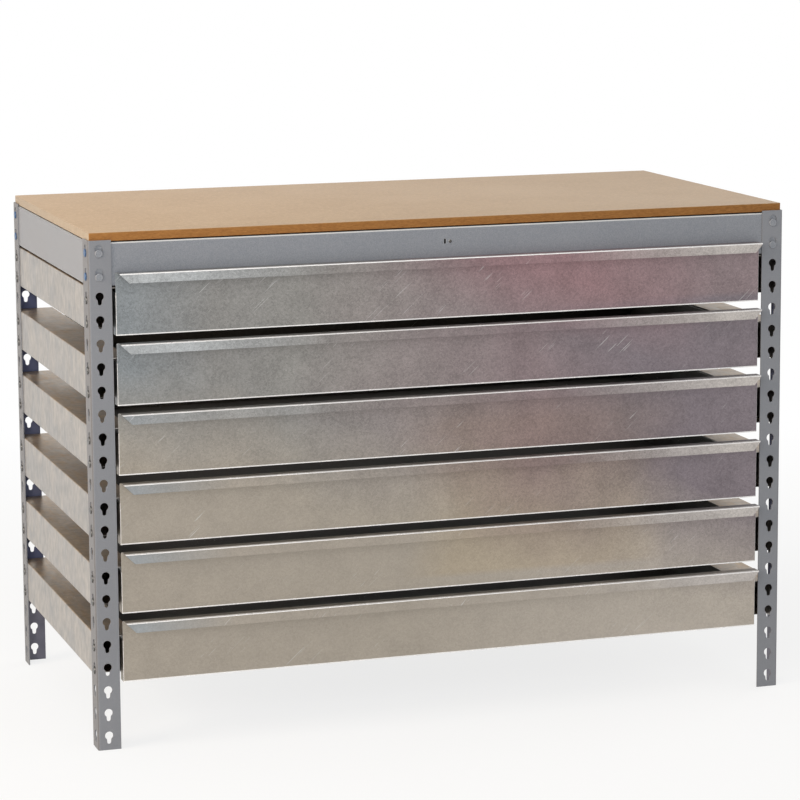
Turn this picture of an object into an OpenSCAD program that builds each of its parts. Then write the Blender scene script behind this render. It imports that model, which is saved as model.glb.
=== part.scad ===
// Slotted-angle workbench with a board top and six sheet-metal drawers on runners.
// Millimetres. +X is to the right, -Y is the front, +Z is up and the posts stand on z = 0.

/* [Overall size] */
// Width over the outer faces of the posts
bench_w = 1210; // [900:10:1500]
// Depth over the outer faces of the posts
bench_d = 610; // [500:10:800]
// Number of keyholes up each post flange, which sets the height
holes_up = 22; // [22:1:26]

/* [Posts] */
// Outer width of each flange of a post
post_flange = 38; // [36:1:44]
// Steel thickness of a post
post_t = 1.8; // [1.5:0.1:2.4]
// Inside radius of the bend in a post
post_bend_r = 1.5; // [1:0.1:2]
// Distance from one keyhole to the next
hole_pitch = 38; // [38:0.5:42]
// Distance from the outer corner of a post to the middle of its keyholes
hole_inset = 18; // [17:0.5:20]
// Diameter of the round head of a keyhole
keyhole_head_d = 13.5; // [11:0.5:14]
// Drop from the top of a pitch to the middle of the keyhole head
keyhole_head_drop = 14; // [12:0.5:15]
// Width of the slot where it leaves the middle of the keyhole head
slot_top_w = 8.8; // [8.2:0.1:9.4]
// Width of the slot's rounded bottom end, to which it narrows
slot_end_w = 6.4; // [5.8:0.1:7]
// Drop from the top of a pitch to the bottom of the slot
slot_end_drop = 28; // [27:0.5:29]

/* [Studs] */
// Drop from the top of a pitch to the middle of a stud, wedged part of the way down its slot
stud_drop = 21; // [20:0.5:22]
// How much narrower a stud head is than the keyhole head it goes in through
stud_head_play = 0.5; // [0.3:0.1:1.5]
// Thickness of a stud head
stud_head_t = 2; // [1.5:0.1:3]
// Play between a stud shank and the sides of the slot it hangs in
stud_slot_play = 0.2; // [0.1:0.05:0.4]
// Radial play between a stud shank and its hole in the beam or runner
stud_hole_play = 0.05; // [0.02:0.01:0.2]
// Diameter of the flattened tail of a stud
stud_tail_d = 10; // [9:0.5:12]
// Thickness of the flattened tail of a stud
stud_tail_t = 1.5; // [1:0.1:2]
// Least gap between a stud tail and the bend beside it
stud_edge_gap = 0.5; // [0.2:0.1:1.5]

/* [Beams] */
// Height of the beams, whose tops carry the worktop
beam_h = 70; // [60:1:80]
// Width of the inward flanges of the front and back beams
beam_flange = 25; // [20:1:32]
// Width of the inward flanges of the side beams
side_beam_flange = 20; // [15:1:30]
// Steel thickness of the beams
beam_t = 1.2; // [1:0.1:1.6]
// Inside radius of the bends in beams, runners and brace
bend_r = 1.2; // [0.8:0.1:2]
// Free space at a corner between pieces that meet there
corner_gap = 1; // [0.5:0.25:3]

/* [Worktop] */
// Thickness of the worktop board
board_t = 16; // [12:1:25]
// Distance from the post outer faces to the board edge
board_inset = 3; // [2.5:0.25:6]
// How far the post tops stand above the seat of the board
board_seat_drop = 4; // [2:0.5:8]

/* [Worktop brace] */
// Outer width of the brace under the board
brace_w = 32; // [28:1:60]
// Height of the brace
brace_h = 34; // [32:1:50]
// Sideways distance from mid-span to the rivet on one side and the slot on the other
brace_hole_offset = 4.5; // [4:0.25:8]
// Drop from the seat of the board to the brace rivet
brace_rivet_drop = 23; // [20:1:26]
// Diameter of the brace rivet's shank
rivet_d = 3.2; // [2.5:0.1:4]
// Diameter of the brace rivet's head
rivet_head_d = 6; // [5:0.25:7]
// Thickness of the brace rivet's head
rivet_head_t = 1; // [0.8:0.1:1.4]
// Width of the empty slot beside the rivet
brace_slot_w = 3.5; // [3:0.25:5]
// Height of the empty slot beside the rivet
brace_slot_h = 8; // [7:0.5:12]

/* [Runners] */
// Number of drawers
drawer_count = 6; // [2:1:6]
// Height of a runner
runner_h = 69.5; // [55:0.5:80]
// Gap between the side beam and the top of the first runner
runner_gap = 3; // [2:0.5:8]
// Width of the top and bottom flanges of a runner
runner_flange = 63; // [55:1:75]
// Steel thickness of a runner
runner_t = 1.2; // [1:0.1:1.6]
// How far a runner's bottom flange is cut back at the front
runner_cut_back = 40; // [32:1:60]

/* [Drawers] */
// Gap between a drawer front and the post edge on each side
front_side_gap = 6; // [3:0.5:12]
// Gap between one drawer front and the next below it
front_gap = 12; // [8:0.5:20]
// How far the top of the first drawer front overlaps the bottom of the front beam
front_overlap = 21.5; // [18:0.5:24]
// Sheet thickness of a drawer front
front_t = 1; // [0.8:0.1:1.2]
// Inside radius of the folds in a drawer front
fold_r = 1; // [0.6:0.1:1.6]
// How far the top flange of a drawer front reaches forward
pull_reach = 22; // [16:1:35]
// Vertical drop of the lip at the end of the flange
lip_drop = 15; // [10:0.5:24]
// Outward lean of the lip from vertical, in degrees
lip_flare = 20; // [0:1:35]
// How far the flange ends stop short of the front's ends
flange_end_inset = 2; // [1:0.5:8]
// How far the lower corners of the lip are cut in by the mitre
lip_mitre = 15; // [8:1:25]
// Depth of the side returns of a drawer front
return_depth = 20; // [12:1:26]
// Height of the side returns of a drawer front
return_h = 68.5; // [55:0.5:69]
// Sheet thickness of a tray
tray_t = 0.8; // [0.6:0.1:1.2]
// Inside radius of the bends in a tray
tray_bend_r = 1; // [0.6:0.1:2]
// Gap between the back of a tray and the back of the bench
tray_back_gap = 50; // [30:5:120]
// Play between a tray and the runner flange it slides on
slide_play = 0.3; // [0.2:0.05:1]
// Gap between the tray wall and the runner's top flange
tip_gap = 7.8; // [5:0.1:16]
// Height of the hem folded in at the top of a tray wall
hem_h = 8; // [5:0.5:15]
// Height of the upturned strip at the front of a tray
front_tab_h = 25; // [15:1:45]

/* [Hidden] */
$fn = 48;

// Steps in which a bend is drawn
bend_steps = 5;
// Extra reach of a cut past the surface it opens
cut = 1;

// Keyhole pitches taken up by one drawer
holes_per_drawer = 3;

post_h = holes_up * hole_pitch;

// The slot narrows evenly down to the middle of its rounded end
slot_end_mid = slot_end_drop - slot_end_w / 2;
slot_taper = atan((slot_top_w - slot_end_w) / 2 / (slot_end_mid - keyhole_head_drop));
slot_half_w = slot_top_w / 2 - (stud_drop - keyhole_head_drop) * tan(slot_taper);
shank_r = slot_half_w * cos(slot_taper) - stud_slot_play;
stud_head_d = keyhole_head_d - stud_head_play;

function stud_z(k) = post_h - stud_drop - k * hole_pitch;

drawer_pitch = holes_per_drawer * hole_pitch;
seat_z = post_h - board_seat_drop;
beam_z = seat_z - beam_h;
function runner_bottom(n) = beam_z - runner_gap - runner_h - (n - 1) * drawer_pitch;

// Keyholes behind which a beam or runner has room for a stud
stud_edge = stud_tail_d / 2 + max(beam_t, runner_t) + bend_r + stud_edge_gap;
function keyholes_over(bottom, height) = [
    for (k = [0:holes_up - 1])
        if (stud_z(k) >= bottom + stud_edge && stud_z(k) <= bottom + height - stud_edge) k];
beam_keyholes = keyholes_over(beam_z, beam_h);
function runner_keyholes(n) = keyholes_over(runner_bottom(n), runner_h);

// Beams and runners stop clear of the bend inside each post
post_clear = post_t + post_bend_r + corner_gap;
front_beam_len = bench_w - 2 * post_clear;
side_len = bench_d - 2 * post_clear;
beam_corner = post_t + beam_flange + corner_gap;

front_h = drawer_pitch - front_gap;
front_w = bench_w - 2 * post_flange - 2 * front_side_gap;
function front_bottom(n) = beam_z + front_overlap - front_h - (n - 1) * drawer_pitch;

tray_w = front_w - 2 * front_t;
tray_h = runner_h - 2 * runner_t - slide_play - tip_gap;
function tray_bottom(n) = runner_bottom(n) + runner_t + slide_play;

// A strip of sheet seen from its end, as stations [x, y, heading] along its middle line.
// Each step is [straight length, bend angle, bend radius at the middle line], and the last has no bend.
function strip(steps, at, i = 0) =
    let (
        run = steps[i][0],
        corner = [at[0] + run * cos(at[2]), at[1] + run * sin(at[2]), at[2]]
    )
    i == len(steps) - 1 ? [at, corner] :
    let (
        side = sign(steps[i][1]),
        r = steps[i][2],
        pivot = [corner[0] - side * r * sin(at[2]), corner[1] + side * r * cos(at[2])],
        arc = [for (k = [1:bend_steps])
            let (h = at[2] + steps[i][1] * k / bend_steps)
            [pivot[0] + side * r * sin(h), pivot[1] - side * r * cos(h), h]]
    )
    concat([at, corner], [for (k = [0:bend_steps - 2]) arc[k]], strip(steps, arc[bend_steps - 1], i + 1));

// The outline of such a strip at its full thickness
function outline(stations, t) = concat(
    [for (s = stations) [s[0] - sin(s[2]) * t / 2, s[1] + cos(s[2]) * t / 2]],
    [for (i = [len(stations) - 1:-1:0])
        let (s = stations[i])
        [s[0] + sin(s[2]) * t / 2, s[1] - cos(s[2]) * t / 2]]);

// An angle with its outer corner at the origin
function angle_section(flange, t, r) =
    let (leg = flange - r - t)
    outline(strip([[leg, -90, r + t / 2], [leg]], [flange, t / 2, 180]), t);

// A channel with its web on x = 0 and both flanges pointing to +x
function channel_section(h, flange, t, r) =
    let (leg = flange - r - t)
    outline(strip([[leg, -90, r + t / 2], [h - 2 * (r + t), -90, r + t / 2], [leg]],
        [flange, t / 2, 180]), t);

// A drawer front from the side: face on x = 0, flange and lip towards -x, bottom edge at y = 0
lip_turn = 90 - lip_flare;
fold_out = fold_r + front_t;
fold_mid = fold_r + front_t / 2;
lip_tangent = fold_out * tan(lip_turn / 2);
front_section = outline(strip([
    [front_h - fold_out, 90, fold_mid],
    [front_t / 2 - fold_mid + pull_reach - lip_tangent, lip_turn, fold_mid],
    [lip_drop / cos(lip_flare) - lip_tangent]],
    [front_t / 2, 0, 90]), front_t);
lip_reach = -min([for (p = front_section) p[0]]);

// A tray from the front: bottom on y = 0, walls up, hems folded down inside
tray_mid = tray_bend_r + tray_t / 2;
tray_out = tray_bend_r + tray_t;
hem_run = hem_h - tray_t * 1.5;
wall_run = tray_h - tray_t * 1.5 - tray_out;
tray_section = outline(strip([
    [hem_run, 180, tray_t],
    [wall_run, 90, tray_mid],
    [tray_w - 2 * tray_out, 90, tray_mid],
    [wall_run, 180, tray_t],
    [hem_run]],
    [-tray_w / 2 + tray_t * 2.5, tray_h - hem_h, 90]), tray_t);

// Everything is drawn with the posts centred, then moved so that the whole box is centred on the origin
frame_shift = (lip_reach - stud_head_t) / 2;
front_y = -bench_d / 2;

module in_place() {
    translate([0, frame_shift, 0])
        children();
}

// Turn a piece made for the left so that it serves the right
module swap_side(right) {
    if (right)
        mirror([1, 0, 0])
            children();
    else
        children();
}

// Turn a piece made for the front so that it serves the back
module swap_end(back) {
    if (back)
        mirror([0, 1, 0])
            children();
    else
        children();
}

// Stretch a section along the bench's width, with its x towards the back
module along_width(len) {
    translate([-len / 2, 0, 0])
        rotate([90, 0, 90])
            linear_extrude(len)
                children();
}

// Stretch a section along the bench's depth, with its x to the right
module along_depth(len) {
    translate([0, len / 2, 0])
        rotate([90, 0, 0])
            linear_extrude(len)
                children();
}

// The keyholes of one flange, side by side with the flange's outer corner line on x = 0
module keyhole_row() {
    for (k = [0:holes_up - 1])
        translate([hole_inset, post_h - k * hole_pitch]) {
            translate([0, -keyhole_head_drop])
                circle(d = keyhole_head_d);
            translate([0, -slot_end_mid])
                circle(d = slot_end_w);
            polygon([
                [-slot_top_w / 2, -keyhole_head_drop],
                [slot_top_w / 2, -keyhole_head_drop],
                [slot_end_w / 2, -slot_end_mid],
                [-slot_end_w / 2, -slot_end_mid]]);
        }
}

module post() {
    difference() {
        linear_extrude(post_h)
            polygon(angle_section(post_flange, post_t, post_bend_r));
        translate([0, post_t + cut, 0])
            rotate([90, 0, 0])
                linear_extrude(post_t + 2 * cut)
                    keyhole_row();
        translate([-cut, 0, 0])
            rotate([90, 0, 90])
                linear_extrude(post_t + 2 * cut)
                    keyhole_row();
    }
}

module corner_post(right, back) {
    color("lightslategray")
        in_place()
            swap_side(right)
                swap_end(back)
                    translate([-bench_w / 2, front_y, 0])
                        post();
}

// A stud through a sheet of the given thickness. The post's outer face is on y = 0, the head towards -y
module stud(sheet_t) {
    grip = post_t + sheet_t;
    rotate([90, 0, 0]) {
        cylinder(r1 = stud_head_d / 2, r2 = stud_head_d / 2 - stud_head_t / 2, h = stud_head_t);
        translate([0, 0, -grip])
            cylinder(r = shank_r, h = grip);
        translate([0, 0, -grip - stud_tail_t])
            cylinder(d = stud_tail_d, h = stud_tail_t);
    }
}

// A hole for a stud shank, straight through whatever lies behind the post's outer face
module stud_hole(sheet_t) {
    translate([0, post_t - cut, 0])
        rotate([-90, 0, 0])
            cylinder(r = shank_r + stud_hole_play, h = sheet_t + 2 * cut);
}

// Children placed at the stud places of the front flanges, for the beam there
module at_front_studs() {
    for (right = [false, true], k = beam_keyholes)
        swap_side(right)
            translate([-bench_w / 2 + hole_inset, front_y, stud_z(k)])
                children();
}

// Children placed at the stud places of the left posts' side flanges, in one keyhole
module at_left_studs(k) {
    for (back = [false, true])
        swap_end(back)
            translate([-bench_w / 2, front_y + hole_inset, stud_z(k)])
                rotate([0, 0, -90])
                    children();
}

// The rivet hole and the empty slot at mid-span, through the beam's web and the brace's end plate
module brace_holes() {
    depth = post_t + 2 * beam_t + cut;
    translate([0, front_y, seat_z - brace_rivet_drop]) {
        translate([brace_hole_offset, 0, 0])
            rotate([-90, 0, 0])
                cylinder(d = rivet_d, h = depth);
        translate([-brace_hole_offset - brace_slot_w / 2, 0, -brace_slot_h / 2])
            cube([brace_slot_w, depth, brace_slot_h]);
    }
}

module long_beam() {
    difference() {
        translate([0, front_y + post_t, beam_z])
            along_width(front_beam_len)
                polygon(channel_section(beam_h, beam_flange, beam_t, bend_r));
        at_front_studs()
            stud_hole(beam_t);
        brace_holes();
    }
}

module beam_front() {
    color("lightslategray")
        in_place()
            long_beam();
}

module beam_back() {
    color("lightslategray")
        in_place()
            swap_end(true)
                long_beam();
}

// The flanges of a side beam stop clear of the flanges of the front and back beams
module side_beam() {
    flange_x = -bench_w / 2 + post_t + beam_t;
    difference() {
        translate([-bench_w / 2 + post_t, 0, beam_z])
            along_depth(side_len)
                polygon(channel_section(beam_h, side_beam_flange, beam_t, bend_r));
        for (back = [false, true])
            swap_end(back)
                translate([flange_x, front_y, beam_z - cut])
                    cube([side_beam_flange + cut, beam_corner, beam_h + 2 * cut]);
        for (k = beam_keyholes)
            at_left_studs(k)
                stud_hole(beam_t);
    }
}

module beam_left() {
    color("lightslategray")
        in_place()
            side_beam();
}

module beam_right() {
    color("lightslategray")
        in_place()
            swap_side(true)
                side_beam();
}

module worktop() {
    board_w = bench_w - 2 * board_inset;
    board_d = bench_d - 2 * board_inset;
    color("burlywood")
        in_place()
            translate([-board_w / 2, -board_d / 2, seat_z])
                cube([board_w, board_d, board_t]);
}

// A channel open downward. Its top lies under the board between the beam flanges, its sides run on to the
// beam webs below those flanges, and a plate closes each end against the web
module worktop_brace() {
    web_y = front_y + post_t + beam_t;
    full_len = -2 * web_y;
    under_flange = beam_t + bend_r + corner_gap;
    color("lightslategray")
        in_place()
            difference() {
                union() {
                    translate([0, 0, seat_z])
                        along_depth(full_len)
                            rotate(-90)
                                translate([0, -brace_w / 2])
                                    polygon(channel_section(brace_w, brace_h, beam_t, bend_r));
                    for (back = [false, true])
                        swap_end(back)
                            translate([-brace_w / 2, web_y, seat_z - brace_h])
                                cube([brace_w, beam_t, brace_h]);
                }
                for (back = [false, true])
                    swap_end(back) {
                        translate([-brace_w / 2 - cut, front_y, seat_z - under_flange])
                            cube([brace_w + 2 * cut, beam_corner, under_flange + cut]);
                        brace_holes();
                    }
            }
}

module brace_rivets() {
    grip = 2 * beam_t;
    color("silver")
        in_place()
            for (back = [false, true])
                swap_end(back)
                    translate([brace_hole_offset, front_y + post_t, seat_z - brace_rivet_drop])
                        rotate([90, 0, 0]) {
                            cylinder(r1 = rivet_head_d / 2, r2 = rivet_d / 2, h = rivet_head_t);
                            translate([0, 0, -grip])
                                cylinder(d = rivet_d, h = grip);
                            translate([0, 0, -grip - rivet_head_t])
                                cylinder(d = rivet_head_d, h = rivet_head_t);
                        }
}

module long_beam_studs() {
    color("lightslategray")
        in_place()
            for (back = [false, true])
                swap_end(back)
                    at_front_studs()
                        stud(beam_t);
}

module side_beam_studs() {
    color("steelblue")
        in_place()
            for (right = [false, true], k = beam_keyholes)
                swap_side(right)
                    at_left_studs(k)
                        stud(beam_t);
}

module runner_studs(right) {
    color("gainsboro")
        in_place()
            swap_side(right)
                for (n = [1:drawer_count], k = runner_keyholes(n))
                    at_left_studs(k)
                        stud(runner_t);
}

// A channel whose bottom flange carries the tray and whose top flange keeps it from tipping
module runner(n, right) {
    flange_x = -bench_w / 2 + post_t + runner_t;
    color("silver")
        in_place()
            swap_side(right)
                difference() {
                    translate([-bench_w / 2 + post_t, 0, runner_bottom(n)])
                        along_depth(side_len)
                            polygon(channel_section(runner_h, runner_flange, runner_t, bend_r));
                    translate([flange_x, front_y, runner_bottom(n) - cut])
                        cube([runner_flange + cut, runner_cut_back, runner_h / 2]);
                    for (k = runner_keyholes(n))
                        at_left_studs(k)
                            stud_hole(runner_t);
                }
}

// The wedge cut off each end of the lip, from the fold down to its lower edge
module lip_end_cut() {
    end_x = front_w / 2;
    fold_z = front_h - fold_out;
    lip_z = front_h - lip_drop;
    translate([end_x - flange_end_inset, -lip_reach - cut, 0])
        cube([flange_end_inset + cut, lip_reach + cut, front_h + cut]);
    rotate([90, 0, 0])
        linear_extrude(lip_reach + cut)
            polygon([
                [end_x - flange_end_inset, fold_z],
                [end_x + cut, fold_z],
                [end_x + cut, lip_z - cut],
                [end_x - flange_end_inset - lip_mitre, lip_z - cut],
                [end_x - flange_end_inset - lip_mitre, lip_z]]);
}

module drawer_front(n) {
    color("darkgray")
        in_place()
            translate([0, front_y, front_bottom(n)]) {
                difference() {
                    along_width(front_w)
                        polygon(front_section);
                    for (right = [false, true])
                        swap_side(right)
                            lip_end_cut();
                }
                for (right = [false, true])
                    swap_side(right)
                        translate([front_w / 2 - front_t, 0, 0])
                            cube([front_t, return_depth, return_h]);
            }
}

// An open box: bottom and hemmed side walls in one fold, with a back wall and an upturned front strip
module drawer_tray(n) {
    inner_w = tray_w - 2 * tray_t;
    tray_len = bench_d - tray_back_gap - front_t;
    color("darkgray")
        in_place()
            translate([0, front_y + front_t, tray_bottom(n)]) {
                translate([0, tray_len / 2, 0])
                    along_depth(tray_len)
                        polygon(tray_section);
                translate([-inner_w / 2, tray_len - tray_t, tray_t / 2])
                    cube([inner_w, tray_t, tray_h - tray_t / 2]);
                translate([-inner_w / 2, 0, tray_t / 2])
                    cube([inner_w, tray_t, front_tab_h]);
            }
}

worktop();
corner_post(false, false);  // post_front_left
corner_post(true, false);  // post_front_right
corner_post(false, true);  // post_back_left
corner_post(true, true);  // post_back_right
beam_front();
beam_back();
beam_left();
beam_right();
worktop_brace();
brace_rivets();
long_beam_studs();
side_beam_studs();
runner_studs(false);  // runner_studs_left
runner_studs(true);  // runner_studs_right
for (n = [1:drawer_count]) {
    runner(n, false);
    runner(n, true);
    drawer_front(n);
    drawer_tray(n);
}
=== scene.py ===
import math

import bpy
from mathutils import Matrix, Vector


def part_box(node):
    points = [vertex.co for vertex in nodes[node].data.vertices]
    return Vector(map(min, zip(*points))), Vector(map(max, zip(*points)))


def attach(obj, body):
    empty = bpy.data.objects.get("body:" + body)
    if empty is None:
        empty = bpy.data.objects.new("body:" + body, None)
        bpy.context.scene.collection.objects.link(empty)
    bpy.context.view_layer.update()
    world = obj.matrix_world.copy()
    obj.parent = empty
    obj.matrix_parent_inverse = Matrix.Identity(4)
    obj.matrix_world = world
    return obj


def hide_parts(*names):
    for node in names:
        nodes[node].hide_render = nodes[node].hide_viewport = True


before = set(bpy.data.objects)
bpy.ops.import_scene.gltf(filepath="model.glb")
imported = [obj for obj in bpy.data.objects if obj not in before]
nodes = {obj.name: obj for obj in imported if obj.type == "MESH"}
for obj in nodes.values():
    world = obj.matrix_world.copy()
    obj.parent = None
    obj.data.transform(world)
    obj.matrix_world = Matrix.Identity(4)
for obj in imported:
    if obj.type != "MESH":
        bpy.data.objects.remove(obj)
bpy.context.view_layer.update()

# Dressing of a slotted-angle workbench with six galvanised drawers.
# Metres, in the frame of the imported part: +X right, -Y front, +Z up.

DRAWERS = 6
# From one keyhole to the next up a post, and how many of these steps a drawer takes up
HOLE_PITCH = 0.038
HOLES_PER_DRAWER = 3

# Points closer than this to a line count as on it
SNAP = 0.00001

post_low, post_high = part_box("post_front_left")
POST_TOP = post_high[2]
OUTER_X = -post_low[0]
FRONT_Y = post_low[1]
BACK_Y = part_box("post_back_right")[1][1]
MIDDLE_Y = (FRONT_Y + BACK_Y) / 2
BEAM_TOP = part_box("beam_front")[1][2]
FOOT_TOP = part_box(f"runner_left_{DRAWERS}")[0][2]


# Selecting and editing

def select_only(*objects):
    bpy.ops.object.select_all(action="DESELECT")
    for obj in objects:
        obj.select_set(True)
    bpy.context.view_layer.objects.active = objects[0]


def name_piece(name):
    """Names the active object and its mesh."""
    piece = bpy.context.view_layer.objects.active
    piece.name = name
    piece.data.name = name
    return piece


def settle(piece):
    """Puts a piece's place, turn and size into its mesh."""
    select_only(piece)
    bpy.ops.object.transform_apply(location=True, rotation=True, scale=True)


def pick_edges(piece, test):
    """In edit mode, selects the edges whose two ends pass the test, and nothing else."""
    bpy.ops.mesh.select_mode(type="EDGE")
    bpy.ops.mesh.select_all(action="DESELECT")
    bpy.ops.object.mode_set(mode="OBJECT")
    mesh = piece.data
    for edge in mesh.edges:
        a, b = (mesh.vertices[i].co for i in edge.vertices)
        edge.select = test(a, b)
    bpy.ops.object.mode_set(mode="EDIT")


def score_lines(planes):
    """In edit mode, cuts new edges into the piece along planes, each a point on it and its direction."""
    for point, across in planes:
        bpy.ops.mesh.select_all(action="SELECT")
        bpy.ops.mesh.bisect(plane_co=point, plane_no=across)


def apply_modifiers(piece):
    select_only(piece)
    for modifier in list(piece.modifiers):
        bpy.ops.object.modifier_apply(modifier=modifier.name)


def outward_normals(piece):
    select_only(piece)
    bpy.ops.object.mode_set(mode="EDIT")
    bpy.ops.mesh.select_all(action="SELECT")
    bpy.ops.mesh.normals_make_consistent(inside=False)
    bpy.ops.object.mode_set(mode="OBJECT")


def smooth(piece, angle=math.radians(40)):
    select_only(piece)
    bpy.ops.object.shade_smooth_by_angle(angle=angle)


def copy_piece(piece, name, matrix):
    """A copy with its own mesh, moved by the matrix in its mesh."""
    copy = piece.copy()
    copy.data = piece.data.copy()
    copy.data.transform(matrix)
    copy.name = name
    copy.data.name = name
    bpy.context.collection.objects.link(copy)
    return copy


def join_pieces(name, pieces):
    select_only(*pieces)
    bpy.ops.object.join()
    return name_piece(name)


def dress(piece, *materials):
    piece.data.materials.clear()
    for material in materials:
        piece.data.materials.append(material)


# Shader building

WHITE = (1.0, 1.0, 1.0, 1)
# A tint multiplies a colour, so white leaves it alone
NO_TINT = WHITE

# Where a Mix node keeps its colour sockets
MIX_FACTOR = 0
MIX_COLOR_A = 6
MIX_COLOR_B = 7
MIX_COLOR_RESULT = 2


def add_node(tree, kind, inputs=None, **settings):
    """A node with its settings, and with its inputs set to values or joined to other sockets."""
    node = tree.nodes.new(kind)
    for name, value in settings.items():
        setattr(node, name, value)
    for name, value in (inputs or {}).items():
        if isinstance(value, bpy.types.NodeSocket):
            tree.links.new(value, node.inputs[name])
        else:
            node.inputs[name].default_value = value
    return node


def calc(tree, operation, a, b=0.0, clamp=False):
    return add_node(tree, "ShaderNodeMath", {0: a, 1: b}, operation=operation, use_clamp=clamp).outputs[0]


def vector_calc(tree, operation, a, b):
    return add_node(tree, "ShaderNodeVectorMath", {0: a, 1: b}, operation=operation).outputs["Vector"]


def distance(tree, a, b):
    return calc(tree, "ABSOLUTE", calc(tree, "SUBTRACT", a, b))


def rescale(tree, value, low, high, new_low=0.0, new_high=1.0):
    """Runs evenly from the new low to the new high between the limits, and stays level beyond them."""
    limits = {"Value": value, "From Min": low, "From Max": high, "To Min": new_low, "To Max": new_high}
    return add_node(tree, "ShaderNodeMapRange", limits).outputs["Result"]


def mix_colors(tree, factor, a, b, blend="MIX"):
    inputs = {MIX_FACTOR: factor, MIX_COLOR_A: a, MIX_COLOR_B: b}
    node = add_node(tree, "ShaderNodeMix", inputs, data_type="RGBA", blend_type=blend)
    return node.outputs[MIX_COLOR_RESULT]


def noise(tree, vector, scale, detail=3.0, roughness=0.5):
    values = {"Vector": vector, "Scale": scale, "Detail": detail, "Roughness": roughness}
    return add_node(tree, "ShaderNodeTexNoise", values).outputs["Fac"]


def start_group(name, inputs, outputs):
    """An empty node group, and its inner ends."""
    group = bpy.data.node_groups.new(name, "ShaderNodeTree")
    for label, value in inputs.items():
        socket = group.interface.new_socket(label, in_out="INPUT", socket_type="NodeSocketFloat")
        socket.default_value = value
    for label, kind in outputs.items():
        group.interface.new_socket(label, in_out="OUTPUT", socket_type=kind)
    inner = group.nodes.new("NodeGroupInput")
    end = group.nodes.new("NodeGroupOutput")
    return group, inner.outputs, end.inputs


def place_group(tree, group, **values):
    node = tree.nodes.new("ShaderNodeGroup")
    node.node_tree = group
    for name, value in values.items():
        node.inputs[name.replace("_", " ")].default_value = value
    return node.outputs


def object_position(tree):
    return add_node(tree, "ShaderNodeTexCoord").outputs["Object"]


def axes(tree, vector):
    return add_node(tree, "ShaderNodeSeparateXYZ", {"Vector": vector}).outputs


def position_axes(tree):
    return axes(tree, object_position(tree))


def facing_axes(tree):
    """X, Y and Z of the direction that a face looks in."""
    return axes(tree, add_node(tree, "ShaderNodeTexCoord").outputs["Normal"])


def make_worn_edges():
    """Where an edge has been rubbed: 1 on the edge, 0 on the flat."""
    group, given, out = start_group("worn edges", {"Width": 0.001, "Amount": 1.0, "Patch": 0.02},
                                    {"Mask": "NodeSocketFloat"})
    rounded = add_node(group, "ShaderNodeBevel", {"Radius": given["Width"]}, samples=4)
    flat = add_node(group, "ShaderNodeNewGeometry")
    agree = add_node(group, "ShaderNodeVectorMath",
                     {0: rounded.outputs["Normal"], 1: flat.outputs["Normal"]}, operation="DOT_PRODUCT")
    turned = calc(group, "SUBTRACT", 1.0, agree.outputs["Value"])
    edge = rescale(group, turned, 0.02, 0.22)
    per_metre = calc(group, "DIVIDE", 1.0, given["Patch"])
    rubbed = noise(group, object_position(group), per_metre, detail=4.0, roughness=0.6)
    patchy = rescale(group, rubbed, 0.38, 0.62)
    worn = calc(group, "MULTIPLY", edge, patchy)
    group.links.new(calc(group, "MULTIPLY", worn, given["Amount"], True), out["Mask"])
    return group


def make_spangle():
    """Zinc crystals of one size: a tone for each crystal, and a fine tooth over them."""
    group, given, out = start_group("zinc spangle", {"Crystal": 0.004, "Stretch": 1.0},
                                    {"Tone": "NodeSocketFloat", "Tooth": "NodeSocketFloat"})
    upright = add_node(group, "ShaderNodeCombineXYZ", {"X": 1.0, "Y": 1.0, "Z": given["Stretch"]})
    place = vector_calc(group, "MULTIPLY", object_position(group), upright.outputs["Vector"])
    per_metre = calc(group, "DIVIDE", 1.0, given["Crystal"])
    crystals = add_node(group, "ShaderNodeTexVoronoi",
                        {"Vector": place, "Scale": per_metre}, feature="F1")
    tone = add_node(group, "ShaderNodeSeparateColor", {"Color": crystals.outputs["Color"]})
    group.links.new(tone.outputs["Red"], out["Tone"])
    finer = calc(group, "MULTIPLY", per_metre, 2.2)
    tooth = noise(group, place, finer, detail=2.0, roughness=0.6)
    group.links.new(tooth, out["Tooth"])
    return group


def make_smudges():
    """Soft uneven patches of one size, as from handling and rolling."""
    group, given, out = start_group("handling smudges", {"Size": 0.2, "Softness": 0.3},
                                    {"Mask": "NodeSocketFloat"})
    per_metre = calc(group, "DIVIDE", 1.0, given["Size"])
    cloud = noise(group, object_position(group), per_metre, detail=4.0, roughness=0.55)
    low = calc(group, "SUBTRACT", 0.5, given["Softness"])
    high = calc(group, "ADD", 0.5, given["Softness"])
    group.links.new(rescale(group, cloud, low, high), out["Mask"])
    return group


SCRATCH_SLANT = math.radians(42)
# How many times finer the scratches' pattern is across them than along them, for the three axes
SCRATCH_FINENESS = (1.0, 4.0, 36.0)


def make_scratches():
    """A few thin scratches, slanting up to the right on upright faces: 1 in a scratch, 0 elsewhere."""
    group, given, out = start_group("scratches", {"Length": 0.03, "Rarity": 0.7}, {"Mask": "NodeSocketFloat"})
    per_metre = calc(group, "DIVIDE", 1.0, given["Length"])
    turned = add_node(group, "ShaderNodeMapping",
                      {"Vector": object_position(group), "Rotation": (0, SCRATCH_SLANT, 0)})
    drawn_out = vector_calc(group, "MULTIPLY", turned.outputs["Vector"], SCRATCH_FINENESS)
    lines = noise(group, drawn_out, per_metre, detail=1.0, roughness=0.4)
    broader = calc(group, "MULTIPLY", per_metre, 0.7)
    where = noise(group, turned.outputs["Vector"], broader, detail=2.0)
    line = rescale(group, lines, given["Rarity"], calc(group, "ADD", given["Rarity"], 0.03))
    patch = rescale(group, where, 0.57, 0.65)
    group.links.new(calc(group, "MULTIPLY", line, patch, True), out["Mask"])
    return group


# Depth from the outer faces that holds the webs of posts and beams
SHELL = 0.005


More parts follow.
